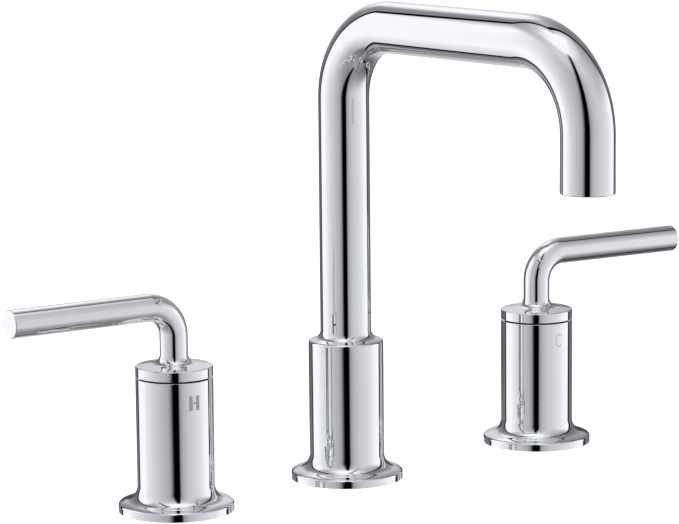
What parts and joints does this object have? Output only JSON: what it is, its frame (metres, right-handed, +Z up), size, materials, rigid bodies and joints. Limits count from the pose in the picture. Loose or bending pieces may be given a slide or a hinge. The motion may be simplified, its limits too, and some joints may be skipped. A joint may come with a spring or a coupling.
{
  "type": "widespread bathroom faucet",
  "caption": "Deck-mounted basin mixer set: bent tube spout between separate hot and cold lever valves with flared bases, ceramic disc cartridges and clamp hardware.",
  "frame": {"origin": "on the deck's top face under the axis of the spout's riser", "axes": "+X along the row towards the cold valve, -Y towards the user, +Z up"},
  "size_m": [0.3567, 0.1876, 0.3142],
  "materials": {
    "chrome": "polished chrome plate",
    "brass": "machined brass, slightly dulled",
    "steel": "stamped stainless steel",
    "rubber": "matt black rubber",
    "nylon": "moulded white plastic",
    "ceramic": "lapped alumina ceramic"
  },
  "bodies": {
    "deck_set": {"hot_escutcheon": "chrome", "hot_glide_ring": "nylon", "hot_deck_gasket": "rubber", "hot_valve_body": "brass", "hot_cartridge_housing": "brass", "hot_fixed_disc": "ceramic", "hot_cartridge_seal": "rubber", "hot_cartridge_o_ring": "rubber", "hot_rubber_washer": "rubber", "hot_steel_washer": "steel", "hot_locknut": "brass", "hot_link_tube": "brass", "hot_link_valve_gasket": "rubber", "hot_link_valve_nut": "brass", "hot_link_tee_gasket": "rubber", "hot_link_tee_nut": "brass", "spout_base": "chrome", "spout_tube": "chrome", "spout_shank": "brass", "spout_shank_o_ring": "rubber", "spout_deck_gasket": "rubber", "spout_rubber_washer": "rubber", "spout_steel_washer": "steel", "spout_locknut": "brass", "inlet_tee": "brass", "inlet_tee_gasket": "rubber", "aerator_gasket": "rubber", "aerator_housing": "nylon", "aerator_insert": "nylon", "cold_escutcheon": "chrome", "cold_glide_ring": "nylon", "cold_deck_gasket": "rubber", "cold_valve_body": "brass", "cold_cartridge_housing": "brass", "cold_fixed_disc": "ceramic", "cold_cartridge_seal": "rubber", "cold_cartridge_o_ring": "rubber", "cold_rubber_washer": "rubber", "cold_steel_washer": "steel", "cold_locknut": "brass", "cold_link_tube": "brass", "cold_link_valve_gasket": "rubber", "cold_link_valve_nut": "brass", "cold_link_tee_gasket": "rubber", "cold_link_tee_nut": "brass"},
    "hot_handle": {"hot_lever_handle": "chrome", "hot_handle_set_screw": "steel", "hot_cartridge_spindle": "brass", "hot_moving_disc": "ceramic", "hot_spindle_o_ring": "rubber"},
    "cold_handle": {"cold_lever_handle": "chrome", "cold_handle_set_screw": "steel", "cold_cartridge_spindle": "brass", "cold_moving_disc": "ceramic", "cold_spindle_o_ring": "rubber"}
  },
  "joints": [
    {"name": "hot_handle_turn", "type": "hinge", "parent": "deck_set", "child": "hot_handle", "pos_m": [-0.0918, 0, 0.0868], "axis": [0, 0, 1], "range_deg": [0, 90]},
    {"name": "cold_handle_turn", "type": "hinge", "parent": "deck_set", "child": "cold_handle", "pos_m": [0.1114, 0, 0.0868], "axis": [0, 0, 1], "range_deg": [-90, 0]}
  ]
}
